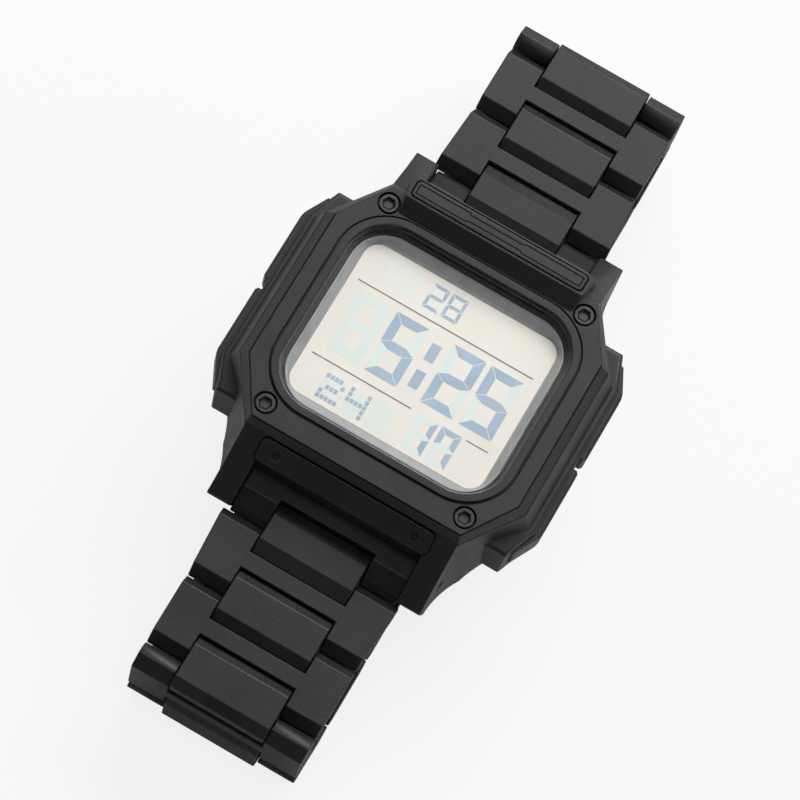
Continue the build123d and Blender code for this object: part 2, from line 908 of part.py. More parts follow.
def make_lcd_panel():
    """Two glass plates, the lower one longer so that its edges meet the connector strips."""
    middle = lcd_bottom + lcd_thickness * lcd_plate_share
    half_width = tray_half_width - part_gap
    half_length = tray_half_length - part_gap
    with BuildPart() as panel:
        with BuildSketch(Plane.XY.offset(lcd_bottom)):
            RectangleRounded(2 * half_width, 2 * half_length, tray_corner)
        extrude(amount=lcd_top - lcd_bottom)
        with BuildSketch(Plane.XY.offset(lcd_bottom)):
            with GridLocations(0, 2 * half_length, 1, 2):
                Rectangle(2 * half_width + overrun, 2 * (lcd_step - part_gap))
        extrude(amount=middle - lcd_bottom, mode=Mode.SUBTRACT)
    return panel


def make_backlight_panel():
    """Light guide under the display, between the connector strips."""
    half_length = tray_half_length - lcd_step - part_gap
    return rounded_plate(
        tray_half_width - part_gap,
        half_length,
        tray_corner,
        lcd_bottom - backlight_thickness,
        lcd_bottom,
    )


def make_connector_strips():
    """Two rubber strips that carry the display's contacts down to the board."""
    strip_y = tray_half_length - part_gap - strip_width / 2
    strip_top = lcd_bottom + lcd_thickness * lcd_plate_share
    with BuildPart() as strips:
        with BuildSketch(Plane.XY.offset(board_z + board_thickness)):
            with GridLocations(0, 2 * strip_y, 1, 2):
                Rectangle(2 * (tray_half_width - strip_end_gap), strip_width - part_gap)
        extrude(amount=strip_top - board_z - board_thickness)
    return strips


def make_module_holder():
    """Moulded tray: the display, strips and board drop in from above, the battery from below."""
    with BuildPart() as holder:
        with BuildSketch(Plane.XY.offset(holder_bottom)):
            RectangleRounded(
                2 * holder_half_width, 2 * holder_half_length, chamber_corner - part_gap
            )
        extrude(amount=lcd_top - holder_bottom)
        with BuildSketch(Plane.XY.offset(board_z)):
            RectangleRounded(2 * tray_half_width, 2 * tray_half_length, tray_corner)
        extrude(amount=lcd_top - board_z, mode=Mode.SUBTRACT)
        with BuildSketch(Plane.XY.offset(holder_bottom)):
            Circle(battery_diameter / 2 + part_gap)
        extrude(amount=battery_thickness + part_gap, mode=Mode.SUBTRACT)
    return holder


def make_circuit_board():
    """Board with its covered chip on the upper side, under the backlight panel."""
    with BuildPart() as board:
        with BuildSketch(Plane.XY.offset(board_z)):
            RectangleRounded(
                2 * (tray_half_width - part_gap), 2 * (tray_half_length - part_gap), tray_corner
            )
        extrude(amount=board_thickness)
        with BuildSketch(Plane.XY.offset(board_z + board_thickness)):
            Circle(chip_cover_diameter / 2)
        extrude(amount=chip_cover_height)
    return board


def make_battery():
    """Coin cell: a can with a narrower cap facing the board."""
    with BuildPart() as battery:
        with BuildSketch(Plane.XY.offset(holder_bottom)):
            Circle(battery_diameter / 2)
        extrude(amount=battery_thickness - battery_rim)
        with BuildSketch(Plane.XY.offset(holder_bottom + battery_thickness - battery_rim)):
            Circle(battery_cap_diameter / 2)
        extrude(amount=battery_rim)
    return battery


def make_battery_clip():
    """Sprung steel strap under the battery, with a foot on the holder at each end."""
    with BuildPart() as clip:
        with BuildSketch(Plane.XY.offset(holder_bottom - clip_thickness)):
            Rectangle(2 * (holder_half_width - holder_wall), clip_width)
        extrude(amount=clip_thickness)
        with BuildSketch(Plane.XY.offset(holder_bottom - clip_thickness)):
            with GridLocations(2 * (holder_half_width - holder_wall) - clip_width, 0, 2, 1):
                Circle(clip_hole_diameter / 2)
        extrude(amount=clip_thickness, mode=Mode.SUBTRACT)
    return clip


def make_buzzer():
    """Thin sounder disc bonded to the inside of the case back."""
    with BuildPart() as buzzer:
        with BuildSketch(Plane.XY.offset(case_z + back_thickness)):
            Circle(buzzer_diameter / 2)
        extrude(amount=buzzer_thickness)
    return buzzer


def make_case_back():
    """Flat plate let into the underside, with four countersunk screw seats."""
    with BuildPart() as back:
        add(rounded_plate(back_half_width, back_half_length, back_corner, case_z, case_z + back_thickness))
        chamfer(back.faces().sort_by(Axis.Z)[0].edges(), back_reveal)
        with BuildSketch(Plane.XY.offset(case_z)):
            with GridLocations(2 * back_screw_x, 2 * screw_y, 2, 2):
                Circle(screw_shank_diameter / 2 + running_clearance)
        extrude(amount=back_thickness, mode=Mode.SUBTRACT)
        with BuildSketch(Plane.XY.offset(case_z)):
            with GridLocations(2 * back_screw_x, 2 * screw_y, 2, 2):
                Circle(screw_head_diameter / 2 + seat_gap)
        extrude(amount=screw_head_height, mode=Mode.SUBTRACT)
    return back


def make_back_gasket():
    """Flat sealing ring in its groove round the chamber."""
    inset = back_gasket_inset + back_gasket_width
    base = case_z + back_thickness
    with BuildPart() as gasket:
        add(
            rounded_plate(
                chamber_half_width + inset - running_clearance,
                chamber_half_length + inset - running_clearance,
                chamber_corner + inset - running_clearance,
                base,
                base + back_gasket_depth,
            )
        )
        add(
            rounded_plate(
                chamber_half_width + back_gasket_inset + running_clearance,
                chamber_half_length + back_gasket_inset + running_clearance,
                chamber_corner + back_gasket_inset + running_clearance,
                base,
                base + back_gasket_depth,
            ),
            mode=Mode.SUBTRACT,
        )
    return gasket


def make_bar_plate():
    """Insert plate in the top of the 12 o'clock bar."""
    with BuildPart() as plate:
        with BuildSketch(bar_plate_place(top_z + bar_rise + bar_plate_rise - bar_plate_thickness)):
            RectangleRounded(bar_plate_width, bar_plate_length, bar_plate_corner)
        extrude(amount=bar_plate_thickness)
        chamfer(plate.faces().sort_by(Axis.Z)[-1].edges(), seat_gap)
    return plate


def make_lower_plate():
    """Trim plate let into the 6 o'clock face, with its two screws as separate solids."""
    plane = lower_plate_plane()
    face = lower_plate_rise + running_clearance
    heads = [
        Plane(
            origin=plane.from_local_coords((side * lower_screw_x, 0, lower_plate_rise - lower_head_height)),
            x_dir=plane.x_dir,
            z_dir=plane.z_dir,
        )
        for side in (1, -1)
    ]
    screws = make_screws(heads, lower_head_height, lower_plate_thickness)
    with BuildPart() as plate:
        with BuildSketch(plane.offset(-lower_plate_thickness)):
            RectangleRounded(lower_plate_width, lower_plate_length, lower_plate_corner)
        extrude(amount=lower_plate_thickness + lower_plate_rise)
        chamfer(plate.faces().sort_by(Axis.Z)[-1].edges(), lower_plate_rise / 2)
        for radius, low in (
            (
                screw_head_diameter / 2 + running_clearance,
                lower_plate_rise - lower_head_height - running_clearance,
            ),
            (screw_shank_diameter / 2 + running_clearance, -lower_plate_thickness),
        ):
            with BuildSketch(plane.offset(low)):
                with GridLocations(2 * lower_screw_x, 0, 2, 1):
                    Circle(radius)
            extrude(amount=face - low, mode=Mode.SUBTRACT)
        add(screws.part)
    return plate


def make_button(side, end):
    """Bent bar, stem, circlip at the stem's inner end and O-ring in the case's bore."""
    plan = bent_bar(
        button_half_width,
        button_inner,
        button_start_y,
        button_bend_y,
        button_end_y,
        shoulder_taper,
    )
    with BuildPart() as button:
        with BuildSketch(button_plane(side, end, button_bottom)):
            add(plan)
        extrude(amount=side * end * (button_top - button_bottom))
        outer_edges = (
            button.faces()
            .filter_by(Plane.YZ)
            .sort_by(Axis.X)[-1 if side > 0 else 0]
            .edges()
        )
        chamfer(outer_edges, button_edge)
        with BuildSketch(stem_plane(side, end, stem_end_half_width)):
            Circle(stem_diameter / 2)
        extrude(amount=button_inner - stem_end_half_width)
        seal = stem_plane(side, end, o_ring_half_width)
        with BuildSketch(seal):
            Circle(stem_diameter / 2)
            Circle(stem_diameter / 2 - o_ring_groove, mode=Mode.SUBTRACT)
        extrude(amount=o_ring_thickness / 2 + running_clearance, both=True, mode=Mode.SUBTRACT)
        with BuildSketch(seal):
            Circle(stem_diameter / 2 + running_clearance / 2)
        extrude(amount=o_ring_thickness / 2, both=True)
        clip = stem_plane(side, end, stem_end_half_width + circlip_inset)
        with BuildSketch(clip):
            Circle(circlip_diameter / 2)
            Circle(stem_diameter / 2, mode=Mode.SUBTRACT)
        extrude(amount=circlip_thickness)
    return button


def make_spring(side, end):
    """Return spring round the stem, between the button and the floor of its bore."""
    start = pocket_inner - spring_room + running_clearance
    height = button_inner - running_clearance - start - spring_wire
    with BuildPart() as spring:
        with BuildLine() as wire:
            Helix(height / spring_turns, height, spring_radius)
        with BuildSketch(Plane(origin=wire.line @ 0, z_dir=wire.line % 0)):
            Rectangle(spring_wire, spring_wire)
        sweep(path=wire.line, is_frenet=True)
    return spring.part.moved(stem_plane(side, end, start + spring_wire / 2).location)


def make_end_link(half):
    """Filler between two lugs: level top, sloping nose, notch for the first centre link."""
    pin_y, pin_z = route[0]
    radius = end_link_knuckle_radius
    low = pin_z - radius
    turn = radius * cos(radians(45))
    start_y = recess_wall_y + end_link_gap
    notch_y = pin_y - centre_knuckle_radius - web_gap
    with BuildPart() as link:
        with BuildSketch(side_plane(half)):
            with BuildLine():
                Polyline(
                    (start_y, low),
                    (start_y, case_z + end_link_height),
                    (end_link_top_y, case_z + end_link_height),
                    (end_link_nose_y, case_z + end_link_nose_height),
                    (pin_y + radius, pin_z),
                )
                ThreePointArc((pin_y + radius, pin_z), (pin_y + turn, pin_z - turn), (pin_y, low))
                Line((pin_y, low), (start_y, low))
            make_face()
        extrude(amount=recess_half_width - end_link_gap, both=True)
        with BuildSketch(side_plane(half)):
            with BuildLine():
                Polyline(
                    (notch_y, low - overrun),
                    (notch_y, top_z),
                    (lug_tip_y + overrun, top_z),
                    (lug_tip_y + overrun, low - overrun),
                    close=True,
                )
            make_face()
        extrude(amount=leg_inner, both=True, mode=Mode.SUBTRACT)
        with BuildSketch(side_plane(half)):
            with Locations((pin_y, pin_z)):
                Circle(link_bore / 2)
            with Locations((lug_hole_y, case_z + lug_hole_height)):
                Circle(spring_bar_diameter / 2 + running_clearance)
        extrude(amount=band_width, both=True, mode=Mode.SUBTRACT)
    return link.part


def make_end_links():
    """Both end links, one solid at each end of the case."""
    with BuildPart() as links:
        for half in (1, -1):
            add(make_end_link(half))
    return links


def make_spring_bars():
    """Two sprung bars, their thin tips in the lugs' holes."""
    barrel = recess_half_width - end_link_gap
    with BuildPart() as bars:
        for half in (1, -1):
            for radius, reach in (
                (spring_bar_diameter / 2, barrel),
                (spring_bar_tip / 2, barrel + spring_bar_tip_length),
            ):
                with BuildSketch(side_plane(half)):
                    with Locations((lug_hole_y, case_z + lug_hole_height)):
                        Circle(radius)
                extrude(amount=reach, both=True)
    return bars


def make_clasp_cover():
    """Channel that closes over the blades, with ears for the bracelet's last pin."""
    with BuildPart() as cover:
        with BuildSketch(Plane.XY):
            Rectangle(2 * clasp_outer_half, 2 * floor_half_length)
        extrude(amount=clasp_floor)
        for side in (1, -1):
            wall = Plane(origin=(side * clasp_inner_half, 0, 0), x_dir=(0, 1, 0), z_dir=(1, 0, 0))
            with BuildSketch(wall):
                with BuildLine():
                    Polyline(
                        (-floor_half_length, 0),
                        (yoke_start_y - blade_gap, 0),
                        (yoke_start_y - blade_gap, clasp_wall_height),
                        (-floor_half_length, clasp_wall_height),
                        close=True,
                    )
                make_face()
                with Locations((-(clasp_y + floor_half_length - clasp_wall) / 2, clasp_z)):
                    Rectangle(clasp_y - floor_half_length + clasp_wall, 2 * clasp_ear_radius)
                with Locations((-clasp_y, clasp_z)):
                    Circle(clasp_ear_radius)
            extrude(amount=side * clasp_wall)
        with BuildSketch(Plane.YZ):
            with Locations((cover_hinge_y, middle_axis_z)):
                Circle(hinge_pin_diameter / 2 + running_clearance)
            with Locations((-clasp_y, clasp_z)):
                Circle(rear_bar_diameter / 2 + running_clearance)
        extrude(amount=clasp_outer_half + overrun, both=True, mode=Mode.SUBTRACT)
        with BuildSketch(Plane.YZ):
            with Locations((-pusher_y, pusher_z)):
                Rectangle(
                    pusher_length + 2 * running_clearance, pusher_height + 2 * running_clearance
                )
        extrude(amount=clasp_outer_half + overrun, both=True, mode=Mode.SUBTRACT)
        with BuildSketch(Plane.YZ):
            with Locations((cover_hinge_y, middle_axis_z)):
                Circle(hinge_pin_diameter / 2)
        extrude(amount=clasp_outer_half - seat_gap, both=True)
    return cover


def make_middle_blade():
    """Blade between the cover's hinge and the inner blade's hinge, with the latter's pin."""
    plate_y = (cover_hinge_y - blade_hinge_y) / 2
    plate_z = middle_blade_z + middle_blade_thickness / 2
    with BuildPart() as blade:
        with BuildSketch(Plane.YZ):
            with Locations((plate_y, plate_z)):
                Rectangle(cover_hinge_y + blade_hinge_y, middle_blade_thickness)
            with Locations((cover_hinge_y, middle_axis_z)):
                Circle(cover_knuckle_radius)
        extrude(amount=blade_width / 2, both=True)
        with BuildSketch(Plane.YZ):
            with Locations((-blade_hinge_y, blade_axis_z)):
                Circle(blade_knuckle_radius + part_gap)
            with Locations((-blade_hinge_y - blade_knuckle_radius, blade_axis_z)):
                Rectangle(2 * blade_knuckle_radius, 2 * (blade_knuckle_radius + part_gap))
        extrude(amount=blade_width, both=True, mode=Mode.SUBTRACT)
        with BuildSketch(Plane.YZ):
            with Locations((-blade_hinge_y, blade_axis_z)):
                Circle(blade_knuckle_radius)
            with Locations((-blade_hinge_y + blade_knuckle_radius, plate_z)):
                Rectangle(2 * blade_knuckle_radius, middle_blade_thickness)
        extrude(amount=middle_knuckle_width / 2 - part_gap / 2, both=True)
        with BuildSketch(Plane.YZ):
            with Locations((-blade_hinge_y, blade_axis_z), (cover_hinge_y, middle_axis_z)):
                Circle(hinge_pin_diameter / 2 + running_clearance)
        extrude(amount=blade_width, both=True, mode=Mode.SUBTRACT)
        with BuildSketch(Plane.YZ):
            with Locations((-blade_hinge_y, blade_axis_z)):
                Circle(hinge_pin_diameter / 2)
        extrude(amount=blade_width / 2 - seat_gap, both=True)
    return blade


def make_inner_blade():
    """Blade next to the wrist, with two knuckles at one end and a yoke for the bracelet at the other."""
    plate_z = inner_blade_z + inner_blade_thickness / 2
    yoke_end_y = floor_half_length + seat_gap
    yoke_outer = leg_inner + yoke_arm
    with BuildPart() as blade:
        with BuildSketch(Plane.XY.offset(inner_blade_z)):
            with Locations((0, (yoke_start_y - blade_hinge_y) / 2)):
                Rectangle(blade_width, yoke_start_y + blade_hinge_y)
            with Locations((0, (yoke_start_y + yoke_end_y) / 2)):
                Rectangle(2 * yoke_outer, yoke_end_y - yoke_start_y)
        extrude(amount=inner_blade_thickness)
        with BuildSketch(Plane.YZ):
            with Locations((-blade_hinge_y, blade_axis_z)):
                Circle(blade_knuckle_radius)
        extrude(amount=blade_width / 2, both=True)
        with BuildSketch(Plane.YZ):
            with Locations((-blade_hinge_y, blade_axis_z)):
                Circle(blade_knuckle_radius + part_gap)
            with Locations((-blade_hinge_y - blade_knuckle_radius, blade_axis_z)):
                Rectangle(2 * blade_knuckle_radius, 2 * (blade_knuckle_radius + part_gap))
        extrude(amount=middle_knuckle_width / 2 + part_gap / 2, both=True, mode=Mode.SUBTRACT)
        for side in (1, -1):
            arm = Plane(origin=(side * leg_inner, 0, 0), x_dir=(0, 1, 0), z_dir=(1, 0, 0))
            with BuildSketch(arm):
                with Locations(((yoke_start_y + clasp_y) / 2, (clasp_z + plate_z) / 2)):
                    Rectangle(clasp_y - yoke_start_y, plate_z - clasp_z + inner_blade_thickness)
                with Locations((clasp_y, clasp_z)):
                    Circle(yoke_ear_radius)
            extrude(amount=side * yoke_arm)
        with BuildSketch(Plane.YZ):
            with Locations((clasp_y, clasp_z)):
                Circle(link_bore / 2)
            with Locations((-blade_hinge_y, blade_axis_z)):
                Circle(hinge_pin_diameter / 2 + running_clearance)
        extrude(amount=band_width, both=True, mode=Mode.SUBTRACT)
    return blade


def make_pusher(side):
    """Side button of the clasp: a block in the wall's window with a flange inside."""
    head_start = clasp_inner_half - part_gap
    window = Plane(origin=(side * head_start, 0, 0), x_dir=(0, 1, 0), z_dir=(side, 0, 0))
    with BuildPart() as pusher:
        with BuildSketch(window):
            with Locations((-pusher_y, side * pusher_z)):
                Rectangle(pusher_length, pusher_height)
        extrude(amount=clasp_wall + part_gap + pusher_proud)
        outer = pusher.faces().filter_by(Plane.YZ).sort_by(Axis.X)[-1 if side > 0 else 0]
        chamfer(outer.edges(), button_edge)
        with BuildSketch(window):
            with Locations((-pusher_y, side * pusher_z)):
                Rectangle(
                    pusher_length + 2 * pusher_flange_lip, pusher_height + 2 * pusher_flange_lip
                )
        extrude(amount=-pusher_flange)
    return pusher


def write_piece(piece, name):
    """Label one sub-part and write its file."""
    piece.label = name
    export_step(piece, f"parts/{name}.step")


def write_bracelet():
    """Every centre link and wide link of both halves, each in a file of its own."""
    plain = band_width - 2 * link_pin_recess
    yoke_pin = 2 * (leg_inner + yoke_arm - seat_gap)
    drawn_in_bar = centre_link_width + seat_gap
    for half_name, half, last_pin in (("upper", 1, yoke_pin), ("lower", -1, drawn_in_bar)):
        for index in range(len(link_angles)):
            number = index // 2 + 1
            if index % 2:
                start_width = first_link_width if number == 1 else band_width
                link = make_wide_link(index, half, start_width)
                write_piece(link.part, f"{half_name}_wide_link_{number}")
            else:
                last = index == len(link_angles) - 1
                link = make_centre_link(index, half, (plain, last_pin if last else plain))
                write_piece(link.part, f"{half_name}_centre_link_{number}")


def write_case():
    """Every piece that stays with the case."""
    write_piece(make_case_body().part, "case_body")
    write_piece(make_bezel().part, "bezel")
    bezel_planes = corner_planes(screw_x, screw_y, top_z - counterbore_depth, 1)
    write_piece(make_screws(bezel_planes, screw_head_height, screw_length).part, "bezel_screws")
    write_piece(make_glass().part, "glass")
    write_piece(make_glass_gasket().part, "glass_gasket")
    write_piece(make_display_ring().part, "display_ring")
    write_piece(make_lcd_panel().part, "lcd_panel")
    write_piece(make_backlight_panel(), "backlight_panel")
    write_piece(make_connector_strips().part, "connector_strips")
    write_piece(make_module_holder().part, "module_holder")
    write_piece(make_circuit_board().part, "circuit_board")
    write_piece(make_battery().part, "battery")
    write_piece(make_battery_clip().part, "battery_clip")
    write_piece(make_buzzer().part, "buzzer")
    write_piece(make_case_back().part, "case_back")
    write_piece(make_back_gasket().part, "back_gasket")
    back_planes = corner_planes(back_screw_x, screw_y, case_z + screw_head_height, -1)
    write_piece(make_screws(back_planes, screw_head_height, back_screw_length).part, "back_screws")
    write_piece(make_bar_plate().part, "upper_bar_plate")
    write_piece(make_lower_plate().part, "lower_plate")
    write_piece(make_end_links().part, "end_links")
    write_piece(make_spring_bars().part, "lug_spring_bars")


def write_buttons():
    """The four push buttons and their springs."""
    for name, side, end in button_places():
        write_piece(make_button(side, end).part, name)
        write_piece(make_spring(side, end), name.replace("button", "button_spring"))


def write_clasp():
    """The folding clasp."""
    write_piece(make_clasp_cover().part, "clasp_cover")
    write_piece(make_middle_blade().part, "clasp_middle_blade")
    write_piece(make_inner_blade().part, "clasp_inner_blade")
    write_piece(make_pusher(1).part, "clasp_pusher_right")
    write_piece(make_pusher(-1).part, "clasp_pusher_left")


os.makedirs("parts", exist_ok=True)
write_case()
write_buttons()
write_bracelet()
write_clasp()
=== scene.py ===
# %% [markdown]
# A square digital watch in black moulded resin lies on its closed bracelet, dial up. The packed
# model already has every solid at its real size, so this file only dresses it: a camera, soft
# light, a finish for each material, rounded edges, and the thin printed and electric marks on
# the display.

from math import cos, radians, sin

import bmesh
import bpy
from mathutils import Matrix, Vector


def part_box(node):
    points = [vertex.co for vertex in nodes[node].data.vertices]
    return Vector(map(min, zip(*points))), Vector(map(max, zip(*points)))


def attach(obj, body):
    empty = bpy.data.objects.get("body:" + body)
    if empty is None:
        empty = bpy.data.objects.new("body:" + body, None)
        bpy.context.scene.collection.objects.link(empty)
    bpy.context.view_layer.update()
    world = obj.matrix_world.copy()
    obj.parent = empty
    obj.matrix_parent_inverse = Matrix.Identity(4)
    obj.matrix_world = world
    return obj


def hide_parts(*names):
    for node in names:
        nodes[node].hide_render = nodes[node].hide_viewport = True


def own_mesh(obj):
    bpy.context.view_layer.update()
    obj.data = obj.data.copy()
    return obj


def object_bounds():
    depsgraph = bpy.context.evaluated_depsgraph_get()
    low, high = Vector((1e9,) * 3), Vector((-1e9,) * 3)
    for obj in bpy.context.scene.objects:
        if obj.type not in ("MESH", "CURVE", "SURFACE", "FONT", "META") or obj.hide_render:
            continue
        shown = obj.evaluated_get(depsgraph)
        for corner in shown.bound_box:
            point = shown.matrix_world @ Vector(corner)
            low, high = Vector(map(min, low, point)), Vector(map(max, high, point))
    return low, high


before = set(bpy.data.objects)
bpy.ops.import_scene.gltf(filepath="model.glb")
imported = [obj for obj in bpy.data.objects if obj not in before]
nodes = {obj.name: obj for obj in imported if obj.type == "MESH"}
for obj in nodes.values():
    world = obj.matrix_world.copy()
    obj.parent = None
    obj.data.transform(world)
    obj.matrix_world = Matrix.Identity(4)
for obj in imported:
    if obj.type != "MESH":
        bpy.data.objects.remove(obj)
cad_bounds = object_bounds()
scene = bpy.context.scene
MM = 0.001
MERGE_DISTANCE = 0.001 * MM
box_in_mm = [[round(c / MM, 1) for c in corner] for corner in cad_bounds]
print(len(nodes), "solids loaded, box", box_in_mm)

# %% [markdown]
# The camera leans 20 degrees towards 6 o'clock and 3.6 degrees towards 3 o'clock, and the watch
# is turned about 31 degrees clockwise in the picture. A long lens from half a metre away keeps
# the bracelet's sides almost parallel. Three turns in a row give the camera's axes: roll, tilt,
# then sideways.

# %% Camera
CAMERA_TILT = radians(20)
CAMERA_SIDE = radians(3.6)
WATCH_TURN = radians(31.2)
CAMERA_DISTANCE = 500 * MM
NEAR_CLIP = 10 * MM
AIM = Vector((-0.14, -6.48, 23.9)) * MM
LENS = 181.9

roll = Matrix.Rotation(WATCH_TURN, 4, "Z")
tilt = Matrix.Rotation(CAMERA_TILT, 4, "X")
aside = Matrix.Rotation(CAMERA_SIDE, 4, "Y")
turned = aside @ tilt @ roll
back = turned.col[2].to_3d()

camera_data = bpy.data.cameras.new("camera")
camera_data.lens = LENS
camera_data.clip_start = NEAR_CLIP
camera = bpy.data.objects.new("camera", camera_data)
camera.matrix_world = Matrix.Translation(AIM + back * CAMERA_DISTANCE) @ turned
scene.collection.objects.link(camera)
scene.camera = camera
print("camera at", [round(c / MM) for c in camera.location])

# %% [markdown]
# Two short helpers serve the whole file. Everything modelled here starts as a bmesh, which
# becomes an object with one finish. Patterns and masks need sums of sockets and numbers, so one
# function makes a Math node from either kind.

# %% General helpers
def object_from(name, bm, finish):
    """Makes an object with one finish from a bmesh, and frees the bmesh."""
    mesh = bpy.data.meshes.new(name)
    bm.to_mesh(mesh)
    bm.free()
    mesh.materials.append(finish)
    made = bpy.data.objects.new(name, mesh)
    scene.collection.objects.link(made)
    return made


def math_node(tree, operation, *values):
    """The result of a Math node whose inputs are sockets or plain numbers."""
    node = tree.nodes.new("ShaderNodeMath")
    node.operation = operation
    for socket, value in zip(node.inputs, values):
        if isinstance(value, (int, float)):
            socket.default_value = value
        else:
            tree.links.new(value, socket)
    return node.outputs[0]


print("helpers ready")

# %% [markdown]
# Black resin is hard to light: its flat tops look dark grey because a wide soft lamp shines
# across them from 12 o'clock, while the faces towards 6 o'clock stay nearly black. The lamps
# are large and weak, so a white surface that lies flat comes out just under white. The floor is
# a pale card. The camera sees it almost white, also through the glass, and it keeps the soft
# shadow under the watch.

# %% Floor
FLOOR_SIZE = 6.0
FLOOR_GAP = 0.05 * MM
CARD_SHADE = 0.86
CARD_GLOW = 1.05
GLOW_SHARE = 0.8
WHITE = (1, 1, 1, 1)

card = bpy.data.materials.new("pale_card")
card.use_nodes = True
tree = card.node_tree
shade = tree.nodes["Principled BSDF"]
shade.inputs["Base Color"].default_value = (CARD_SHADE, CARD_SHADE, CARD_SHADE, 1)
shade.inputs["Roughness"].default_value = 0.9
glow = tree.nodes.new("ShaderNodeEmission")
glow.inputs["Color"].default_value = WHITE
glow.inputs["Strength"].default_value = CARD_GLOW
rays = tree.nodes.new("ShaderNodeLightPath")
seen = math_node(
    tree, "MAXIMUM", rays.outputs["Is Camera Ray"], rays.outputs["Is Transmission Ray"]
)
blend = tree.nodes.new("ShaderNodeMixShader")
tree.links.new(math_node(tree, "MULTIPLY", seen, GLOW_SHARE), blend.inputs[0])
tree.links.new(shade.outputs[0], blend.inputs[1])
tree.links.new(glow.outputs[0], blend.inputs[2])
tree.links.new(blend.outputs[0], tree.nodes["Material Output"].inputs["Surface"])

square = bmesh.new()
bmesh.ops.create_grid(square, x_segments=1, y_segments=1, size=FLOOR_SIZE / 2)
bmesh.ops.translate(square, verts=square.verts, vec=(0, 0, -FLOOR_GAP))
floor = object_from("floor", square, card)
print("floor", FLOOR_SIZE, "m wide")

# %% [markdown]
# Four soft boxes light the watch, each given by its place, its width and length in metres, and
# its power in watts. The world adds a little even light. Only the camera sees it as a white
# backdrop, by a Light Path switch.

# %% Lamps and world
LAMPS = {
    "key_lamp": ((0.04, 0.6, 0.58), 0.85, 0.45, 5.8),
    "top_lamp": ((0.0, -0.07, 0.9), 0.5, 0.36, 0.65),
    "left_lamp": ((-0.78, -0.1, 0.24), 0.3, 0.6, 1.1),
    "right_lamp": ((0.78, -0.1, 0.24), 0.3, 0.6, 1.1),
}
ROOM_LIGHT = 0.05
BACKDROP = 1.0

for name, (position, width, length, power) in LAMPS.items():
    lamp_data = bpy.data.lights.new(name, "AREA")
    lamp_data.shape = "RECTANGLE"
    lamp_data.size, lamp_data.size_y = width, length
    lamp_data.energy = power
    lamp = bpy.data.objects.new(name, lamp_data)
    facing = Vector(position).to_track_quat("Z", "Y").to_matrix().to_4x4()
    lamp.matrix_world = Matrix.Translation(position) @ facing
    scene.collection.objects.link(lamp)

world = bpy.data.worlds.new("studio")
world.use_nodes = True
scene.world = world
scene.view_settings.view_transform = "Standard"
sky = world.node_tree.nodes["Background"]
sky.inputs["Color"].default_value = WHITE
room_rays = world.node_tree.nodes.new("ShaderNodeLightPath")
room = world.node_tree.nodes.new("ShaderNodeMapRange")
room.inputs["To Min"].default_value = ROOM_LIGHT
room.inputs["To Max"].default_value = BACKDROP
world.node_tree.links.new(room_rays.outputs["Is Camera Ray"], room.inputs["Value"])
world.node_tree.links.new(room.outputs["Result"], sky.inputs["Strength"])
print("lamps", list(LAMPS))

# %% [markdown]
# A finish is a small tree of nodes. Moulded resin has a fine even grain from the mould and
# faint cloudy changes of gloss. All patterns are made from Object coordinates, in metres, so a
# grain of 0.2 mm stays 0.2 mm on every piece and stays put when the pieces move.

# %% Helpers for the finishes
NOISE_LOW, NOISE_HIGH = 0.3, 0.7


def new_finish(name, color, roughness):
    """A material with its node tree and its one main shader."""
    finish = bpy.data.materials.new(name)
    finish.use_nodes = True
    bsdf = finish.node_tree.nodes["Principled BSDF"]
    bsdf.inputs["Base Color"].default_value = (*color, 1)
    bsdf.inputs["Roughness"].default_value = roughness
    return finish, finish.node_tree, bsdf


def add_noise(tree, size, detail, stretch=(1, 1, 1)):
    """Noise whose blotches are about one size across, in metres."""
    place = tree.nodes.new("ShaderNodeTexCoord")
    fit = tree.nodes.new("ShaderNodeMapping")
    fit.inputs["Scale"].default_value = stretch
    noise = tree.nodes.new("ShaderNodeTexNoise")
    noise.inputs["Scale"].default_value = 1 / size
    noise.inputs["Detail"].default_value = detail
    tree.links.new(place.outputs["Object"], fit.inputs["Vector"])
    tree.links.new(fit.outputs["Vector"], noise.inputs["Vector"])
    return noise.outputs["Fac"]


def ramp_between(tree, value, low, high, start=NOISE_LOW, end=NOISE_HIGH):
    """A colour that goes from low to high as a value goes from start to end."""
    ramp = tree.nodes.new("ShaderNodeValToRGB")
    ramp.color_ramp.elements[0].position = start
    ramp.color_ramp.elements[0].color = (*low, 1)
    ramp.color_ramp.elements[1].position = end
    ramp.color_ramp.elements[1].color = (*high, 1)
    tree.links.new(value, ramp.inputs["Fac"])
    return ramp.outputs["Color"]


def range_between(tree, value, low, high):
    """A number that goes from low to high as a noise value rises."""
    fit = tree.nodes.new("ShaderNodeMapRange")
    fit.inputs["From Min"].default_value = NOISE_LOW
    fit.inputs["From Max"].default_value = NOISE_HIGH
    fit.inputs["To Min"].default_value = low
    fit.inputs["To Max"].default_value = high
    tree.links.new(value, fit.inputs["Value"])
    return fit.outputs["Result"]


def add_bump(tree, bsdf, value, height):
    """Grain from a noise value, with its real height in metres."""
    bump = tree.nodes.new("ShaderNodeBump")
    bump.inputs["Strength"].default_value = 1.0
    bump.inputs["Distance"].default_value = height
    tree.links.new(value, bump.inputs["Height"])
    tree.links.new(bump.outputs["Normal"], bsdf.inputs["Normal"])


print("finish helpers ready")

# %% [markdown]
# The case, the bezel, the buttons and the bracelet are all black resin. They differ a little in
# how dark and how glossy they are, and the bracelet's grain is deeper. Each finish has its
# darkest and palest shade, its lowest and highest roughness, and the height of its grain.

# %% Black resins
CLOUD_SIZE = 7 * MM
GRAIN_WIDTH = 0.2 * MM
GRAIN_SHARE, CLOUD_SHARE = 0.7, 0.3


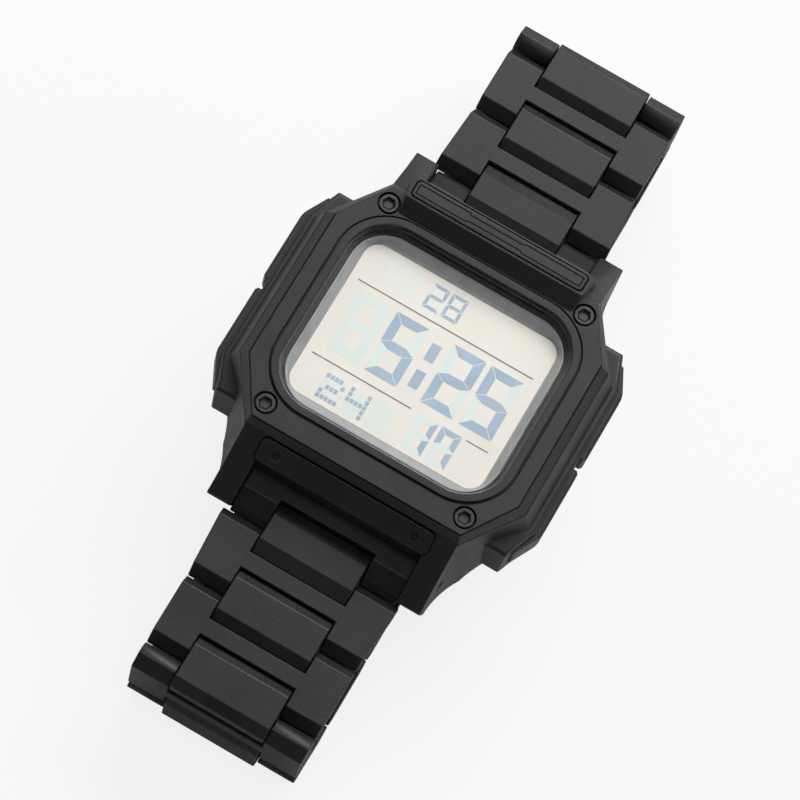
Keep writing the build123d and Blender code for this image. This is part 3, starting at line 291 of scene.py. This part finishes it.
def resin(name, dark, light, rough_low, rough_high, grain_height):
    """Black moulded resin: grain that also tints the colour, and cloudy gloss."""
    finish, tree, bsdf = new_finish(name, light, rough_high)
    cloud = add_noise(tree, CLOUD_SIZE, 3)
    grain = add_noise(tree, GRAIN_WIDTH, 3)
    weak_cloud = math_node(tree, "MULTIPLY", cloud, CLOUD_SHARE)
    tint = math_node(tree, "MULTIPLY_ADD", grain, GRAIN_SHARE, weak_cloud)
    tree.links.new(ramp_between(tree, tint, dark, light), bsdf.inputs["Base Color"])
    tree.links.new(range_between(tree, cloud, rough_low, rough_high), bsdf.inputs["Roughness"])
    add_bump(tree, bsdf, grain, grain_height)
    return finish


case_finish = resin(
    "case_black_resin", (0.019, 0.019, 0.019), (0.039, 0.039, 0.038), 0.36, 0.44, 0.012 * MM
)
link_finish = resin(
    "link_black_resin", (0.012, 0.012, 0.012), (0.038, 0.038, 0.038), 0.4, 0.5, 0.014 * MM
)
bezel_finish = resin(
    "bezel_black_resin", (0.021, 0.021, 0.021), (0.043, 0.043, 0.042), 0.36, 0.44, 0.012 * MM
)
button_finish = resin(
    "button_black_resin", (0.018, 0.018, 0.018), (0.034, 0.034, 0.034), 0.36, 0.44, 0.01 * MM
)
print("resins", case_finish.name, link_finish.name, bezel_finish.name, button_finish.name)

# %% [markdown]
# The bezel plate sits on the case. Shade falls into the narrow gap at its foot and into a crease
# just under its upper edge, and that shade is painted. Both places are level, so a comparison of
# the height on the piece finds them. Inside a band the finish turns nearly black and loses most
# of its shine.

# %% Painted shade in the bezel's seams
SEAM_HALF = 0.07 * MM
BEZEL_RISE = 1.4 * MM
SEAM_TOP_INSET = 1.4 * SEAM_HALF
# Painted shade: the near-black colour of the two seam bands.
PAINTED_SEAM_SHADE = 0.004
RESIN_SPECULAR, SEAM_SPECULAR = 0.5, 0.1


def paint_seam_shade(finish, heights, half_width):
    """Paints shade into two narrow level bands of a finish, at two heights."""
    tree = finish.node_tree
    bsdf = tree.nodes["Principled BSDF"]
    place = tree.nodes.new("ShaderNodeTexCoord")
    split = tree.nodes.new("ShaderNodeSeparateXYZ")
    tree.links.new(place.outputs["Object"], split.inputs["Vector"])
    level = split.outputs["Z"]
    bands = [math_node(tree, "COMPARE", level, height, half_width) for height in heights]
    mask = math_node(tree, "MAXIMUM", *bands)
    blend = tree.nodes.new("ShaderNodeMix")
    blend.data_type = "RGBA"
    blend.inputs[7].default_value = (PAINTED_SEAM_SHADE, PAINTED_SEAM_SHADE, PAINTED_SEAM_SHADE, 1)
    tree.links.new(mask, blend.inputs["Factor"])
    tree.links.new(bsdf.inputs["Base Color"].links[0].from_socket, blend.inputs[6])
    tree.links.new(blend.outputs[2], bsdf.inputs["Base Color"])
    shine = tree.nodes.new("ShaderNodeMapRange")
    shine.inputs["To Min"].default_value = RESIN_SPECULAR
    shine.inputs["To Max"].default_value = SEAM_SPECULAR
    tree.links.new(mask, shine.inputs["Value"])
    tree.links.new(shine.outputs["Result"], bsdf.inputs["Specular IOR Level"])


bezel_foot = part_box("glass")[0][2]
seam_heights = (bezel_foot + SEAM_HALF, bezel_foot + BEZEL_RISE - SEAM_TOP_INSET)
# Paints the shade of the gap at the bezel's foot and of the crease under its top edge.
paint_seam_shade(bezel_finish, seam_heights, SEAM_HALF)
print("seams from", round(bezel_foot / MM, 2), "mm up")

# %% [markdown]
# Metal parts are steel. The bezel screws and the clasp are plated black, and the pins, springs
# and the parts inside keep the bare metal's colour. Brushed steel has long fine scratches, so
# its noise is stretched along one axis.

# %% Metals
BRUSH_WIDTH = 0.4 * MM
BRUSH_STRETCH = (12, 1, 12)
BRUSH_HEIGHT = 0.002 * MM
SCRATCH_SHADE = 0.82


def steel(name, color, roughness):
    """Satin steel with fine lines that run along Y."""
    finish, tree, bsdf = new_finish(name, color, roughness)
    lines = add_noise(tree, BRUSH_WIDTH, 4, stretch=BRUSH_STRETCH)
    dim = tuple(SCRATCH_SHADE * c for c in color)
    tree.links.new(ramp_between(tree, lines, dim, color), bsdf.inputs["Base Color"])
    rough = range_between(tree, lines, 0.8 * roughness, 1.2 * roughness)
    tree.links.new(rough, bsdf.inputs["Roughness"])
    add_bump(tree, bsdf, lines, BRUSH_HEIGHT)
    bsdf.inputs["Metallic"].default_value = 1.0
    return finish


black_steel = steel("black_plated_steel", (0.07, 0.07, 0.074), 0.3)
screw_steel = steel("screw_black_steel", (0.095, 0.095, 0.097), 0.42)
plain_steel = steel("satin_steel", (0.55, 0.55, 0.56), 0.3)
battery_steel = steel("battery_steel", (0.7, 0.7, 0.69), 0.22)
buzzer_brass = steel("buzzer_brass", (0.65, 0.5, 0.24), 0.3)
print("metals", black_steel.name, plain_steel.name, battery_steel.name, buzzer_brass.name)

# %% [markdown]
# The display is a sandwich: clear glass, a grey sloping ring, and a pale panel whose marks turn
# blue-grey when they are on. Marks that are off still show as a faint green-blue tint. The
# glass bends rays only a little, so that its bevelled rim stays calm, and a clear coat gives it
# its gloss. A Light Path switch lets the lamps shine through it.

# %% Display finishes
GLASS_IOR = 1.12
GLASS_ROUGHNESS = 0.02


def plain_finish(name, low, high, roughness, size, bump_height=0.0):
    """A soft even plastic whose shade changes slightly, in clouds of a given size."""
    finish, tree, bsdf = new_finish(name, high, roughness)
    cloud = add_noise(tree, size, 3)
    tree.links.new(ramp_between(tree, cloud, low, high), bsdf.inputs["Base Color"])
    if bump_height:
        add_bump(tree, bsdf, cloud, bump_height)
    return finish


panel_finish = plain_finish(
    "display_cream", (0.775, 0.725, 0.665), (0.812, 0.757, 0.70), 0.55, 8 * MM
)
mark_finish = plain_finish("marks_on", (0.32, 0.415, 0.53), (0.37, 0.465, 0.585), 0.5, 3 * MM)
faint_finish = plain_finish("marks_off", (0.67, 0.74, 0.71), (0.705, 0.77, 0.737), 0.5, 3 * MM)
print_finish = plain_finish("printed_grey", (0.17, 0.165, 0.155), (0.21, 0.205, 0.195), 0.6, 1 * MM)
ring_finish = plain_finish(
    "ring_grey", (0.30, 0.30, 0.305), (0.36, 0.36, 0.365), 0.5, 2 * MM, 0.002 * MM
)
# Grey of the printed border, which also stands in for the ring's shadow as painted shade.
border_and_shade_finish = plain_finish("border_and_shade_grey", (0.22, 0.22, 0.222), (0.26, 0.26, 0.262), 0.55, 3 * MM)
glass_seal_finish = plain_finish(
    "seal_grey", (0.10, 0.10, 0.10), (0.135, 0.135, 0.135), 0.5, 0.6 * MM, 0.004 * MM
)
back_seal_finish = plain_finish(
    "seal_black", (0.010, 0.010, 0.010), (0.016, 0.016, 0.016), 0.6, 0.5 * MM
)


def make_glass_finish():
    """Clear mineral glass that lets lamp rays pass."""
    finish, tree, bsdf = new_finish("clear_glass", (0.96, 0.97, 0.965), GLASS_ROUGHNESS)
    bsdf.inputs["Transmission Weight"].default_value = 1.0
    bsdf.inputs["IOR"].default_value = GLASS_IOR
    bsdf.inputs["Coat Weight"].default_value = 1.0
    bsdf.inputs["Coat Roughness"].default_value = GLASS_ROUGHNESS
    open_way = tree.nodes.new("ShaderNodeBsdfTransparent")
    open_way.inputs["Color"].default_value = (0.95, 0.96, 0.955, 1)
    rays = tree.nodes.new("ShaderNodeLightPath")
    choose = tree.nodes.new("ShaderNodeMixShader")
    tree.links.new(rays.outputs["Is Shadow Ray"], choose.inputs[0])
    tree.links.new(bsdf.outputs[0], choose.inputs[1])
    tree.links.new(open_way.outputs[0], choose.inputs[2])
    tree.links.new(choose.outputs[0], tree.nodes["Material Output"].inputs["Surface"])
    return finish


glass_finish = make_glass_finish()
print("display finishes", panel_finish.name, mark_finish.name, glass_finish.name)

# %% [markdown]
# Pieces inside the closed case are seen only when someone opens the model, yet each still gets
# the finish that it has on a real movement: a green board, a milky light guide, pink striped
# rubber strips and a pale moulded holder.

# %% Finishes inside the case
STRIPE_WIDTH = 3 * MM
STRIP_PINK, STRIP_BLACK = (0.7, 0.35, 0.42), (0.03, 0.03, 0.03)
board_finish = plain_finish(
    "board_green", (0.012, 0.10, 0.045), (0.02, 0.15, 0.06), 0.35, 2 * MM, 0.01 * MM
)
guide_finish = plain_finish("light_guide", (0.80, 0.81, 0.80), (0.86, 0.87, 0.86), 0.3, 5 * MM)
holder_finish = plain_finish(
    "holder_plastic", (0.60, 0.59, 0.54), (0.66, 0.65, 0.60), 0.5, 4 * MM, 0.005 * MM
)


def make_strip_finish():
    """Striped rubber: dark conducting layers between pale ones."""
    finish, tree, bsdf = new_finish("striped_rubber", STRIP_PINK, 0.6)
    place = tree.nodes.new("ShaderNodeTexCoord")
    wave = tree.nodes.new("ShaderNodeTexWave")
    wave.inputs["Scale"].default_value = 1 / STRIPE_WIDTH
    tree.links.new(place.outputs["Object"], wave.inputs["Vector"])
    stripes = ramp_between(tree, wave.outputs["Fac"], STRIP_BLACK, STRIP_PINK, 0.45, 0.55)
    tree.links.new(stripes, bsdf.inputs["Base Color"])
    return finish


strip_finish = make_strip_finish()
print("inner finishes", board_finish.name, guide_finish.name, holder_finish.name, strip_finish.name)

# %% [markdown]
# Each solid gets its finish by name. Real mouldings have no knife edges: a small radius on
# every edge catches the light as a thin pale line. The solids come as loose triangles with
# sharp edges, so a Weld joins them, a flat Decimate gives back whole faces, and a Bevel rounds
# each edge that is sharper than 30 degrees. These modifiers finish the look and leave the
# solids as they are.

# %% Finishes by node
EDGE_SEGMENTS = 2
FLAT_ANGLE = radians(0.5)
EDGE_ANGLE = radians(30)
LINK_EDGE = 0.14 * MM
BUTTON_EDGE = 0.06 * MM
finish_of = {
    "case_body": case_finish, "bezel": bezel_finish, "end_links": case_finish,
    "upper_bar_plate": case_finish, "lower_plate": case_finish,
    "bezel_screws": screw_steel, "case_back": black_steel, "back_screws": plain_steel,
    "lug_spring_bars": plain_steel, "battery_clip": plain_steel,
    "glass": glass_finish, "glass_gasket": glass_seal_finish, "back_gasket": back_seal_finish,
    "display_ring": ring_finish, "lcd_panel": panel_finish, "backlight_panel": guide_finish,
    "connector_strips": strip_finish, "module_holder": holder_finish, "circuit_board": board_finish,
    "battery": battery_steel, "buzzer": buzzer_brass,
}
edge_width_of = {
    "case_body": 0.14 * MM, "bezel": 0.11 * MM, "end_links": 0.15 * MM,
    "upper_bar_plate": 0.09 * MM, "lower_plate": 0.06 * MM, "bezel_screws": 0.08 * MM,
    "clasp_cover": 0.12 * MM, "clasp_inner_blade": 0.08 * MM, "clasp_middle_blade": 0.08 * MM,
}
for name in nodes:
    if "_link_" in name:
        finish_of[name] = link_finish
        edge_width_of[name] = LINK_EDGE
    elif name.startswith("button_spring"):
        finish_of[name] = plain_steel
    elif name.startswith("button_"):
        finish_of[name] = button_finish
        edge_width_of[name] = BUTTON_EDGE
    elif name.startswith("clasp_"):
        finish_of[name] = black_steel


def soften_edges(piece, width):
    """Rounds the sharp edges of a solid that came as loose triangles."""
    weld = piece.modifiers.new("join_triangles", "WELD")
    weld.merge_threshold = MERGE_DISTANCE
    flat = piece.modifiers.new("whole_faces", "DECIMATE")
    flat.decimate_type = "DISSOLVE"
    flat.angle_limit = FLAT_ANGLE
    bevel = piece.modifiers.new("round_edges", "BEVEL")
    bevel.width = width
    bevel.segments = EDGE_SEGMENTS
    bevel.limit_method = "ANGLE"
    bevel.angle_limit = EDGE_ANGLE
    bevel.use_clamp_overlap = False
    bevel.harden_normals = True


for name, node in nodes.items():
    for material_slot in node.material_slots:
        material_slot.material = finish_of[name]
    if name in edge_width_of:
        soften_edges(node, edge_width_of[name])
print(len(finish_of), "nodes finished,", len(edge_width_of), "with rounded edges")

# %% [markdown]
# On the real watch the four return springs get shorter when their buttons go in. Here each one is
# a merged copy of its solid that rides on the case, and it stands for that solid, which is hidden.

# %% Return springs
for place in ("upper_right", "lower_right", "upper_left", "lower_left"):
    solid = nodes["button_spring_" + place]
    merged = bmesh.new()
    merged.from_mesh(solid.data)
    bmesh.ops.remove_doubles(merged, verts=merged.verts, dist=MERGE_DISTANCE)
    spring = object_from("return_spring_" + place, merged, plain_steel)
    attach(spring, "case")
    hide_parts("button_spring_" + place)
    low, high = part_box("button_spring_" + place)
    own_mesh(spring)

# %% [markdown]
# The marks on the panel are very thin plates on its upper face. A seven-segment figure is drawn
# in its own little frame, from its lower left corner: three bars across with slanted ends and
# four upright bars cut to match, with a hairline gap. One function takes the width, height and
# bar thickness, and makes every figure on the dial.

# %% The panel's face and helpers for its marks
FACE_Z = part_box("lcd_panel")[1][2]
MARK_HEIGHT = 0.02 * MM
FAINT_HEIGHT = 0.01 * MM
HAIRLINE = 0.07


def add_mark(bm, points, height, base=FACE_Z):
    """One flat mark, raised a hair above its base. Its corners are in millimetres."""
    corners = [bm.verts.new((x * MM, y * MM, base)) for x, y in points]
    face = bm.faces.new(corners)
    raised = bmesh.ops.extrude_face_region(bm, geom=[face])
    moved = [v for v in raised["geom"] if isinstance(v, bmesh.types.BMVert)]
    bmesh.ops.translate(bm, verts=moved, vec=(0, 0, height))


def figure_bars(width, height, bar):
    """The seven bars of one figure, by their usual letters."""
    gap = HAIRLINE
    middle = height / 2
    top = [
        (gap, height), (width - gap, height),
        (width - bar - gap, height - bar), (bar + gap, height - bar),
    ]
    centre = [
        (gap, middle), (bar + gap, middle + bar / 2), (width - bar - gap, middle + bar / 2),
        (width - gap, middle), (width - bar - gap, middle - bar / 2), (bar + gap, middle - bar / 2),
    ]
    upright = [
        (0, height - gap), (bar, height - bar - gap),
        (bar, middle + bar / 2 + gap), (0, middle + gap),
    ]

    def flipped(points):
        return [(x, height - y) for x, y in points]

    def mirrored(points):
        return [(width - x, y) for x, y in points]

    return {
        "a": top, "b": mirrored(upright), "c": mirrored(flipped(upright)), "d": flipped(top),
        "e": flipped(upright), "f": upright, "g": centre,
    }


LIT_BARS = {"1": "bc", "2": "abged", "5": "afgcd", "7": "abcf", "8": "abcdefg", " ": ""}


def add_figure(lit, faint, text, x, y, width, height, bar):
    """One figure with its lit bars in one bmesh and the others in another."""
    for letter, points in figure_bars(width, height, bar).items():
        placed = [(x + px, y + py) for px, py in points]
        if letter in LIT_BARS[text]:
            add_mark(lit, placed, MARK_HEIGHT)
        else:
            add_mark(faint, placed, FAINT_HEIGHT)


def finish_marks(name, bm, finish):
    """Closes a bmesh of marks into a piece that rides on the case."""
    bmesh.ops.recalc_face_normals(bm, faces=bm.faces)
    made = object_from(name, bm, finish)
    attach(made, "case")
    return made


print("panel face at", round(FACE_Z / MM, 2), "mm")

# %% [markdown]
# The dial shows plain numbers: a date at the top, large hours and minutes with a colon, small
# seconds at the lower right, and a pair of figures made of square dots at the lower left. A
# blank stands for a figure that is off. The bars and dots that are off are collected in one
# faint piece. Every place below is in millimetres from the middle of the dial.

# %% Figures, colon, dots and lines
lit = bmesh.new()
faint = bmesh.new()
HOUR_SIZE, HOUR_BAR, HOUR_Y = (4.7, 8.9), 1.25, -4.53
DATE_SIZE, DATE_BAR, DATE_Y = (2.3, 3.55), 0.45, 6.67
SECOND_SIZE, SECOND_BAR, SECOND_Y = (2.85, 5.1), 0.8, -11.0
for text, x in (("5", -6.25), ("2", 1.92), ("5", 7.35)):
    add_figure(lit, faint, text, x, HOUR_Y, *HOUR_SIZE, HOUR_BAR)
add_figure(faint, faint, " ", -11.7, HOUR_Y, *HOUR_SIZE, HOUR_BAR)
for text, x in (("2", -4.13), ("8", -1.46)):
    add_figure(lit, faint, text, x, DATE_Y, *DATE_SIZE, DATE_BAR)
for x in (-11.0, -8.4):
    add_figure(faint, faint, " ", x, DATE_Y, *DATE_SIZE, DATE_BAR)
for text, x in (("1", 2.6), ("7", 5.95)):
    add_figure(lit, faint, text, x, SECOND_Y, *SECOND_SIZE, SECOND_BAR)


def add_box_mark(bm, left, right, low, high, height):
    """An upright rectangle on the panel."""
    add_mark(bm, [(left, low), (right, low), (right, high), (left, high)], height)


COLON_LEFT, COLON_RIGHT = -0.47, 0.87
for low, high in ((0.54, 3.1), (-3.54, -0.97)):
    add_box_mark(lit, COLON_LEFT, COLON_RIGHT, low, high, MARK_HEIGHT)

DOT_PITCH, DOT_ROW_PITCH, DOT_WIDTH, DOT_LENGTH = 0.6, 0.735, 0.5, 0.6
DOT_TOP = -7.58
DOT_ROWS = {
    "2": ("####.", "....#", ".###.", "#....", "#####"),
    "4": ("#...#", "#...#", "#####", "....#", "....#"),
    " ": (".....", ".....", ".....", ".....", "....."),
}
for text, start in (("2", -9.45), ("4", -5.95), (" ", -2.5)):
    for row, pattern in enumerate(DOT_ROWS[text]):
        for column, dot in enumerate(pattern):
            x = start + column * DOT_PITCH
            y = DOT_TOP - row * DOT_ROW_PITCH
            sides = (x - DOT_WIDTH / 2, x + DOT_WIDTH / 2, y - DOT_LENGTH / 2, y + DOT_LENGTH / 2)
            if dot == "#":
                add_box_mark(lit, *sides, MARK_HEIGHT)
            else:
                add_box_mark(faint, *sides, FAINT_HEIGHT)

printed = bmesh.new()
LINE_HALF = 0.085
for y, start, end in ((5.5, -12.6, 12.63), (-5.97, -12.75, 1.47), (-5.97, 9.37, 12.49)):
    add_box_mark(printed, start, end, y - LINE_HALF, y + LINE_HALF, MARK_HEIGHT)
marks_on = finish_marks("display_marks_on", lit, mark_finish)
marks_off = finish_marks("display_marks_off", faint, faint_finish)
display_lines = finish_marks("display_lines", printed, print_finish)
print("marks", [len(o.data.polygons) for o in (marks_on, marks_off, display_lines)])

# %% [markdown]
# A printed border runs round the panel just inside the ring. Towards 12 o'clock it is wider, and
# that extra width is painted shade: the shadow that the ring casts on the panel. Two outlines with
# the same number of points, one outside and one inside, make a flat band between them. Each
# outline here has its left, right, low and high sides and its corner radius.

# %% Printed border and painted ring shadow
# The inner outline's high side sits lower, so the band is wider at 12 o'clock: painted shadow of
# the ring.
BORDER_OUTER = (-13.93, 13.93, -11.63, 11.63, 2.25)
BORDER_INNER = (-13.78, 13.85, -11.55, 11.2, 2.2)
CORNER_STEPS = 10


def rounded_outline(left, right, low, high, radius):
    """Points of a rounded rectangle, counterclockwise from its lower right corner."""
    points = []
    for quarter, (x, y) in enumerate((
        (right - radius, low + radius), (right - radius, high - radius),
        (left + radius, high - radius), (left + radius, low + radius),
    )):
        for step in range(CORNER_STEPS + 1):
            angle = radians(90 * (quarter - 1 + step / CORNER_STEPS))
            points.append((x + radius * cos(angle), y + radius * sin(angle)))
    return points


def add_band(bm, outer, inner, base):
    """A closed flat band between two outlines."""
    for i in range(len(outer)):
        add_mark(bm, [outer[i - 1], outer[i], inner[i], inner[i - 1]], FAINT_HEIGHT, base)


border = bmesh.new()
add_band(border, rounded_outline(*BORDER_OUTER), rounded_outline(*BORDER_INNER), FACE_Z)
bmesh.ops.remove_doubles(border, verts=border.verts, dist=MERGE_DISTANCE)
# One piece: the printed border, plus the ring's painted shadow towards 12 o'clock.
border_and_shade_piece = finish_marks("border_and_shade_piece", border, border_and_shade_finish)
print("border", len(border_and_shade_piece.data.polygons))

# %% [markdown]
# A few fine lines are cut or pressed into the real parts and are too thin for solids: the
# chamfered mouth of the hexagon on each bezel screw, and the cut outline inside the insert of
# the 12 o'clock bar, whose long sides step inwards near the middle. The shade in them is painted:
# each is a hair-thin dark band between two outlines, like the border.

# %% Painted shade in cut lines
HEX_MOUTH, LINE_WIDTH = 0.93, 0.15
SCREW_HEAD_RADIUS = 1.25
LINE_SPECULAR = 0.05
# Nearly black with little shine: painted shade in the screws' hexagon mouths and the insert's
# groove.
groove_shade_finish = plain_finish(
    "groove_shade_black", (0.003, 0.003, 0.003), (0.006, 0.006, 0.006), 0.7, 1 * MM
)
line_shader = groove_shade_finish.node_tree.nodes["Principled BSDF"]
line_shader.inputs["Specular IOR Level"].default_value = LINE_SPECULAR


def hexagon(x, y, radius):
    """The corners of a hexagon whose first corner points to 3 o'clock."""
    angles = [radians(60 * i) for i in range(6)]
    return [(x + radius * cos(a), y + radius * sin(a)) for a in angles]


groove_shade_mesh = bmesh.new()
screw_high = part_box("bezel_screws")[1]
screw_x = screw_high[0] / MM - SCREW_HEAD_RADIUS
screw_y = screw_high[1] / MM - SCREW_HEAD_RADIUS
for x in (-screw_x, screw_x):
    for y in (-screw_y, screw_y):
        mouth = hexagon(x, y, HEX_MOUTH)
        add_band(groove_shade_mesh, mouth, hexagon(x, y, HEX_MOUTH - LINE_WIDTH), screw_high[2])

insert_low, insert_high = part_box("upper_bar_plate")
INSERT_INSET, STEP_IN, STEP_LEFT, STEP_RIGHT = 0.42, 0.22, -4.6, 3.4


def stepped_outline(inset):
    """The insert's cut outline, with its long sides stepped in between two places."""
    left, right = insert_low[0] / MM + inset, insert_high[0] / MM - inset
    low, high = insert_low[1] / MM + inset, insert_high[1] / MM - inset
    return [
        (left, low), (STEP_LEFT, low), (STEP_LEFT + STEP_IN, low + STEP_IN),
        (STEP_RIGHT - STEP_IN, low + STEP_IN), (STEP_RIGHT, low), (right, low),
        (right, high), (STEP_RIGHT, high), (STEP_RIGHT - STEP_IN, high - STEP_IN),
        (STEP_LEFT + STEP_IN, high - STEP_IN), (STEP_LEFT, high), (left, high),
    ]


inner_line = stepped_outline(INSERT_INSET + LINE_WIDTH)
add_band(groove_shade_mesh, stepped_outline(INSERT_INSET), inner_line, insert_high[2])
bmesh.ops.remove_doubles(groove_shade_mesh, verts=groove_shade_mesh.verts, dist=MERGE_DISTANCE)
# The dark bands are painted shade in the hexagon mouths and in the insert's groove.
groove_shade_piece = finish_marks("groove_shade_piece", groove_shade_mesh, groove_shade_finish)
print("engraved lines", len(groove_shade_piece.data.polygons))
